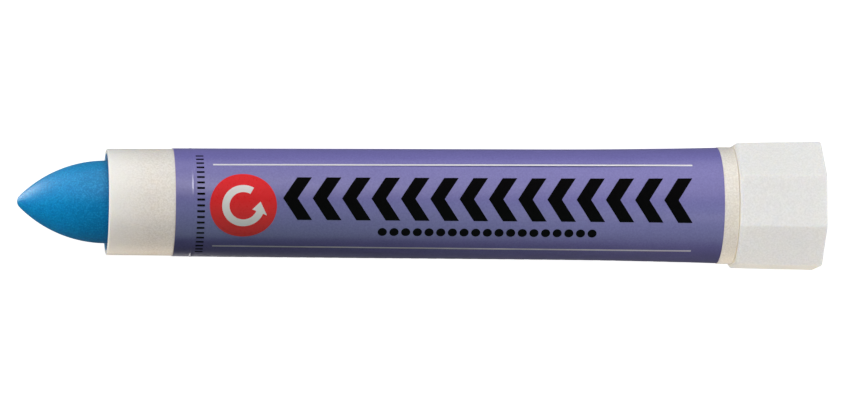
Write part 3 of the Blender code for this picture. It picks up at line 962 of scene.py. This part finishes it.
dot_count = 19
dot_start_x, dot_end_x = -6.7 * MM, 26.4 * MM
dot_outline = circle(0.72 * MM, 24)
dot_step = ((dot_end_x - dot_start_x) / (dot_count - 1), 0)
first_dot = (dot_start_x, print_turn - way_round_barrel(26.8))
print_row("dot_line", [dot_outline], dot_count, first_dot, dot_step, black_ink, 0.3 * MM)
tick_count = 21
tick_outline = rectangle(1.2 * MM, 0.34 * MM)
tick_top = print_turn + way_round_barrel(63.0)
tick_bottom = print_turn - way_round_barrel(60.5)
tick_step = (0, (tick_bottom - tick_top) / (tick_count - 1))
first_tick = (-35.2 * MM, tick_top)
print_row("tick_scale", [tick_outline], tick_count, first_tick, tick_step, black_ink)

# %% [markdown]
# In front of the chevrons sits a red disc with a white arrow that turns round on itself, the common
# sign for a part that is twisted. The arrow is a ring of short pieces with a head at its end, and
# it lies on the red.

# %% Turning sign
disc_middle = (-28.6 * MM, print_turn + way_round_barrel(1.1))
print_row("turning_disc", [circle(5.25 * MM, 96)], 1, disc_middle, (0, 0), red_ink)
arrow_radius = 2.75 * MM
arrow_half = 1.15 * MM / 2
head_half = 1.25 * MM
arrow_steps = 40
arrow_start, arrow_end = math.radians(60), math.radians(338)
head_end = arrow_end + math.radians(36)
inner, outer = arrow_radius - arrow_half, arrow_radius + arrow_half
arrow_outlines = []
for step in range(arrow_steps):
    a = arrow_start + (arrow_end - arrow_start) * step / arrow_steps
    b = arrow_start + (arrow_end - arrow_start) * (step + 1) / arrow_steps
    arrow_outlines.append(spots_round([(inner, a), (outer, a), (outer, b), (inner, b)]))
head = [(arrow_radius - head_half, arrow_end), (arrow_radius + head_half, arrow_end)]
arrow_outlines.append(spots_round(head + [(arrow_radius, head_end)]))
on_disc = {"low": 0.0, "Lift": film_lift + (ink_top - 0.003 * MM)}
print_row("turning_arrow", arrow_outlines, 1, disc_middle, (0, 0), bright_ink, **on_disc)

# %% [markdown]
# The back of a label usually holds small print. Here it is five lines of plain dashes of uneven
# length, drawn with a fixed seed so that they come out the same each time.

# %% Fine dashes on the back
dash_outline = rectangle(2.2 * MM, 0.42 * MM)
dash_count = 27
dash_step = (2.75 * MM, 0)
uneven = {"Shortest": 0.45}
for line in range(5):
    name = "fine_dashes_" + str(line + 1)
    first_dash = (-31.0 * MM, way_round_barrel(-93.5 - 13 * line))
    print_row(name, [dash_outline], dash_count, first_dash, dash_step, black_ink, **uneven)

# %% [markdown]
# ## Paint stick
# The stick is solid paint: pigment in wax and resin, cast and trimmed to a bullet nose. It is satin,
# slightly pearly, and finely speckled where pigment grains stand at the surface. Toward the mouth
# the blue is painted deeper, as painted shade from the barrel.

# %% Paint finish
blue_paint, tree, shader = start_finish(
    "blue_paint",
    {
        "Specular IOR Level": 0.42,
        "Specular Tint": (0.7, 0.9, 1.0, 1),
        "Subsurface Weight": 0.4,
        "Subsurface Radius": (0.1, 0.5, 1.0),
        "Subsurface Scale": 2.5 * MM,
        "Sheen Weight": 0.1,
        "Sheen Tint": (0.2, 0.6, 1.0, 1),
        "Sheen Roughness": 0.4,
    },
)
pigment_noise = noise_on_piece(tree, 1.6 * MM, 4.0)
pigment_clouds = spread(tree, pigment_noise, 0.0, 1.0)
blue = mix_colours(tree, pigment_clouds, (0.0, 0.285, 0.64), (0.0, 0.255, 0.59))
nose_x = place_on_piece(tree)["X"]
# Painted shade: the blue darkens over the last 6.5 mm before the mouth, where the barrel shades the
# stick.
painted_mouth_shade = spread(tree, nose_x, 0.0, 0.75, mouth_x - 7.0 * MM, mouth_x - 0.5 * MM)
blue = mix_colours(tree, painted_mouth_shade, blue, (0.0, 0.2, 0.46))
speckle = noise_on_piece(tree, 0.26 * MM, 4.0)
pale_speckle = spread(tree, speckle, 0.0, 0.5, 0.5, 0.72)
blue = mix_colours(tree, pale_speckle, blue, (0.03, 0.47, 0.82))
dark_speckle = spread(tree, speckle, 0.75, 0.0, 0.28, 0.5)
blue = mix_colours(tree, dark_speckle, blue, (0.0, 0.16, 0.41))
set_look(tree, shader, blue, spread(tree, pigment_noise, 0.4, 0.46))
add_bump(tree, shader, speckle, 0.004 * MM, 0.3)
print("finish:", blue_paint.name)

# %% [markdown]
# The nose is one long arc that meets the straight side smoothly and ends in a small round tip. The
# rear of the stick is hollow: a socket for the carrier and a deep bore for the screw.

# %% Paint stick
tip_radius = 1.27 * MM
tip_steps = 14
nose_steps = 60
drop = stick_radius - tip_radius
reach = mouth_x - tip_x - tip_radius
sweep = (reach**2 / drop + stick_radius + tip_radius) / 2
meet = math.atan2(reach, sweep - stick_radius)
stick_points = []
for step in range(tip_steps):
    a = (math.pi / 2 - meet) * step / tip_steps
    stick_points.append((tip_x + tip_radius * (1 - math.cos(a)), tip_radius * math.sin(a)))
for step in range(nose_steps + 1):
    a = meet * (1 - step / nose_steps)
    stick_points.append((mouth_x - sweep * math.sin(a), stick_radius - sweep * (1 - math.cos(a))))
carrier_front_x = stick_rear_x + 0.3 * MM
socket_end_x = carrier_front_x - 10.3 * MM
bore_end_x = ends_of("drive_screw")[0] - 0.3 * MM
bore_point_x = bore_end_x - 1.9 * MM
carrier_socket = 5.1 * MM
screw_bore = 3.8 * MM
stick_corners = [
    (*stick_points[-1], 0),
    (stick_rear_x, stick_radius, 0.4 * MM),
    (stick_rear_x, carrier_socket, 0.1 * MM),
    (socket_end_x, carrier_socket, 0.1 * MM),
    (socket_end_x, screw_bore, 0.1 * MM),
    (bore_end_x, screw_bore, 0.3 * MM),
    (bore_point_x, 0.0, 0),
]
stick_outline = stick_points + round_outline(stick_corners, False)[1:]
paint_stick = turned_piece("blue_paint_stick", stick_outline, False, blue_paint)
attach(paint_stick, "stick_assembly")
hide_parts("paint_stick")
light_piece(paint_stick, "paint")
print("paint stick:", len(paint_stick.data.polygons), "faces, sweep in mm:", round(sweep / MM, 1))

# %% [markdown]
# ## Knob
# The knob follows a rule. Its section is an eight-sided figure that grows slightly toward the rear,
# with a chamfer in front and softened edges everywhere. A round blank is turned first. The tree
# then sets every point of its skin to the nearest of the eight flats, and a smooth minimum rounds
# the corner where two flats meet.

# %% Round blank of the knob
knob_sides = 8
half_flat_columns = 22
crowding = 1.9
knob_angles = []
for flat_index in range(knob_sides):
    flat_middle = math.tau * flat_index / knob_sides
    for offset in range(-half_flat_columns, half_flat_columns):
        share = offset / half_flat_columns
        bent = math.copysign(1 - (1 - abs(share)) ** crowding, share)
        knob_angles.append(flat_middle + bent * math.pi / knob_sides)
blank_radius = 9.5 * MM
cavity_radius = collar_radius - 1.5 * MM
cavity_floor_x = knob_rear_x - 1.8 * MM
cavity_mouth = 0.2 * MM
cavity_rows = [(cavity_floor_x, cavity_radius * share) for share in (0.0, 0.25, 0.5, 0.75, 0.97)]
cavity_rows += [
    (cavity_floor_x - 0.03 * cavity_radius, cavity_radius),
    (knob_front_x + cavity_mouth, cavity_radius),
    (knob_front_x, cavity_radius + cavity_mouth),
]
skin_rows = [(knob_front_x + 0.045 * MM * step, 1.0) for step in range(15)]
skin_rows += [(knob_front_x + 1.0 * MM + 1.65 * MM * step, 1.0) for step in range(8)]
skin_rows += [(knob_rear_x - 0.5 * MM + 0.04 * MM * step, 1.0) for step in range(12)]
skin_rows += [(knob_rear_x, share) for share in (1.0, 0.97, 0.9, 0.75, 0.5, 0.25, 0.0)]
work = bmesh.new()
skin_layer = work.verts.layers.float.new("skin")
reach_layer = work.verts.layers.float.new("reach")
rings = [add_ring(work, x, radius, knob_angles) for x, radius in cavity_rows]
for x, share in skin_rows:
    ring = add_ring(work, x, blank_radius if share else 0.0, knob_angles)
    for vertex in ring:
        vertex[skin_layer] = 1.0
        vertex[reach_layer] = share
    rings.append(ring)
join_rings(work, rings, False)
knob_blank = mesh_from(work, "eight_sided_knob")
print("blank:", len(rings), "rows of", len(knob_angles), "points")

# %% Tree that cuts the eight flats
flats_tree, given, result = start_tree(
    "eight_flats",
    [
        ("Sides", "Float", float(knob_sides)),
        ("Front X", "Float", knob_front_x),
        ("Rear X", "Float", knob_rear_x),
        ("Collar Radius", "Float", collar_radius),
        ("Front Flat", "Float", front_flat),
        ("Rear Flat", "Float", rear_flat),
        ("Edge", "Float", 0.24 * MM),
        ("Axis Height", "Float", axis_z),
        ("Finish", "Material", None),
    ],
)
reckon = partial(calc, flats_tree)


def read_layer(name):
    """A number that was stored on each point of the blank."""
    node = add_node(flats_tree, "GeometryNodeInputNamedAttribute", {"Name": name})
    node.data_type = "FLOAT"
    return node.outputs["Attribute"]


blank = split_position(flats_tree)
above_axis = reckon("SUBTRACT", blank["Z"], given["Axis Height"])
angle = reckon("ARCTAN2", blank["Y"], above_axis)
half_side = reckon("DIVIDE", math.pi, given["Sides"])
from_flat = reckon("PINGPONG", angle, half_side)
to_next = reckon("SUBTRACT", reckon("MULTIPLY", half_side, 2.0), from_flat)
from_front = reckon("SUBTRACT", blank["X"], given["Front X"])
to_rear = reckon("SUBTRACT", given["Rear X"], blank["X"])
rise = reckon("SUBTRACT", given["Front Flat"], given["Collar Radius"])
straight = reckon("ADD", from_front, reckon("SUBTRACT", to_rear, rise))
way_back = reckon("DIVIDE", reckon("SUBTRACT", from_front, rise), straight)
gain = reckon("SUBTRACT", given["Rear Flat"], given["Front Flat"])
flat_distance = reckon("ADD", given["Front Flat"], reckon("MULTIPLY", gain, way_back))
chamfer = reckon("ADD", given["Collar Radius"], from_front)
rear_edge = reckon("SUBTRACT", given["Rear Flat"], reckon("MULTIPLY", given["Edge"], 0.8))
rear_edge = reckon("ADD", rear_edge, to_rear)
flat_distance = reckon("SMOOTH_MIN", flat_distance, chamfer, given["Edge"])
flat_distance = reckon("SMOOTH_MIN", flat_distance, rear_edge, given["Edge"])
this_flat = reckon("DIVIDE", flat_distance, reckon("COSINE", from_flat))
next_flat = reckon("DIVIDE", flat_distance, reckon("COSINE", to_next))
corner_round = reckon("MULTIPLY", given["Edge"], 1.2)
skin_radius = reckon("SMOOTH_MIN", this_flat, next_flat, corner_round)
skin_radius = reckon("MULTIPLY", skin_radius, read_layer("reach"))
round_radius = across(flats_tree, blank["Y"], above_axis)
gap_to_rule = reckon("SUBTRACT", skin_radius, round_radius)
gap_to_rule = reckon("MULTIPLY", gap_to_rule, read_layer("skin"))
final_radius = reckon("ADD", round_radius, gap_to_rule)
side = reckon("MULTIPLY", final_radius, reckon("SINE", angle))
height = reckon("MULTIPLY", final_radius, reckon("COSINE", angle))
height = reckon("ADD", height, given["Axis Height"])
cut = move_points(flats_tree, given["Geometry"], blank["X"], side, height)
finish_tree(flats_tree, cut, given["Finish"], result)
print("tree:", flats_tree.name, "with", len(flats_tree.nodes), "nodes")

# %% [markdown]
# The knob is moulded in a whiter plastic than the barrel, with a slightly coarser matt grain that
# gives the fingers a hold. Its front edge has the same weak painted glow as the barrel's rear one,
# standing for warm light that comes through the thin plastic.

# %% Knob plastic
knob_plastic, tree, shader = start_finish(
    "knob_plastic",
    {
        "Emission Color": painted_gap_glow,
        "Subsurface Weight": 0.4,
        "Subsurface Radius": (1.0, 0.8, 0.5),
        "Subsurface Scale": 2.0 * MM,
    },
)
tone = spread(tree, noise_on_piece(tree, 5.0 * MM, 3.0), 0.0, 1.0)
white = mix_colours(tree, tone, (0.915, 0.915, 0.915), (0.89, 0.89, 0.89))
matt_grain = noise_on_piece(tree, 0.3 * MM, 3.0)
white = mix_colours(tree, spread(tree, matt_grain, 0.6, 0.0), white, (0.735, 0.735, 0.73))
set_look(tree, shader, white, spread(tree, matt_grain, 0.44, 0.6))
add_bump(tree, shader, matt_grain, 0.06 * MM, 0.7)
# Painted glow: the first 0.12 mm of the knob's front edge gives off weak warm light.
painted_glow_end_x = knob_front_x + 0.12 * MM
front_x = place_on_piece(tree)["X"]
painted_front_glow = spread(tree, front_x, painted_glow_strength, 0.0, knob_front_x, painted_glow_end_x)
feed(tree, shader.inputs["Emission Strength"], painted_front_glow)
print("finish:", knob_plastic.name)

# %% Eight-sided knob
knob = add_plain_piece("eight_sided_knob", knob_blank)
run_tree(knob, flats_tree, {"Finish": knob_plastic})
make_plain(knob)
work = bmesh.new()
work.from_mesh(knob.data)
bmesh.ops.recalc_face_normals(work, faces=work.faces)
work.to_mesh(knob.data)
work.free()
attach(knob, "knob_assembly")
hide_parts("propel_knob")
light_piece(knob, "knob", "barrel_and_knob")
print("knob:", len(knob.data.polygons), "faces")

# %% [markdown]
# Inside the knob a hub with a six-sided socket grips the tail of the screw, and four webs tie the
# hub to the wall. The webs use the same ring tree as the ribs.

# %% Hub and webs in the knob
socket_half = 2.2 * MM + 0.05 * MM
hub_radius = socket_half / math.cos(math.pi / 6) + 1.5 * MM
hub_edge = 0.15 * MM
hub_rear_x = cavity_floor_x + 0.4 * MM
hub_outline = [
    (hub_rear_x, hub_radius),
    (hub_front_x + hub_edge, hub_radius),
    (hub_front_x, hub_radius - hub_edge),
    (hub_front_x, socket_half, 6),
    (hub_rear_x, socket_half, 6),
]
knob_hub = turned_piece("knob_hub", hub_outline, True, knob_plastic, 96)
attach(knob_hub, "knob_assembly")
web_ends = (knob_front_x + 2.5 * MM, hub_rear_x)
web_radii = (hub_radius - 0.3 * MM, cavity_radius + 0.4 * MM)
knob_webs = bars_round_axis("knob_webs", web_ends, web_radii, 0.1 * MM, knob_plastic)
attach(knob_webs, "knob_assembly")
print("hub and webs:", len(knob_hub.data.polygons) + len(knob_webs.data.polygons), "faces")

# %% [markdown]
# ## Pieces inside
# The screw, the carrier, the rear bush and the seal ring have the right shapes in the CAD model
# already, so they stay. Each gets a finish of its own: a natural slippery plastic, a grey
# glass-filled one, a white one and black rubber.

# %% Finishes of the inner pieces
def moulded_finish(name, colour, other, roughness, grain_size, grain_depth, glow):
    """A moulded plastic or rubber with cloudy tone, uneven gloss and a fine grain."""
    finish, tree, shader = start_finish(
        name,
        {
            "Subsurface Weight": glow,
            "Subsurface Radius": (1.0, 0.9, 0.75),
            "Subsurface Scale": 1.5 * MM,
        },
    )
    clouds = spread(tree, noise_on_piece(tree, 2.0 * MM, 3.0), 0.0, 1.0)
    grain = noise_on_piece(tree, grain_size, 3.0)
    uneven = spread(tree, grain, roughness - 0.08, roughness + 0.1)
    set_look(tree, shader, mix_colours(tree, clouds, colour, other), uneven)
    add_bump(tree, shader, grain, grain_depth, 0.5)
    return finish


natural, old_natural = (0.78, 0.78, 0.73), (0.72, 0.72, 0.68)
grey, dark_grey = (0.5, 0.51, 0.52), (0.44, 0.45, 0.46)
white, dull_white = (0.76, 0.76, 0.74), (0.71, 0.71, 0.69)
black, dusty_black = (0.022, 0.022, 0.023), (0.032, 0.031, 0.031)
soft, firm, strong = 0.005 * MM, 0.006 * MM, 0.008 * MM
inner_looks = {
    "stick_carrier": ("natural_carrier_plastic", natural, old_natural, 0.4, 0.2 * MM, soft, 0.35),
    "drive_screw": ("grey_screw_plastic", grey, dark_grey, 0.45, 0.12 * MM, firm, 0.05),
    "rear_bush": ("white_bush_plastic", white, dull_white, 0.45, 0.18 * MM, soft, 0.2),
    "journal_seal_ring": ("black_seal_rubber", black, dusty_black, 0.62, 0.09 * MM, strong, 0.0),
}
for node_name, look in inner_looks.items():
    finish = moulded_finish(*look)
    node_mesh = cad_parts[node_name].data
    node_mesh.materials.clear()
    node_mesh.materials.append(finish)
    print(node_name, "gets", finish.name)
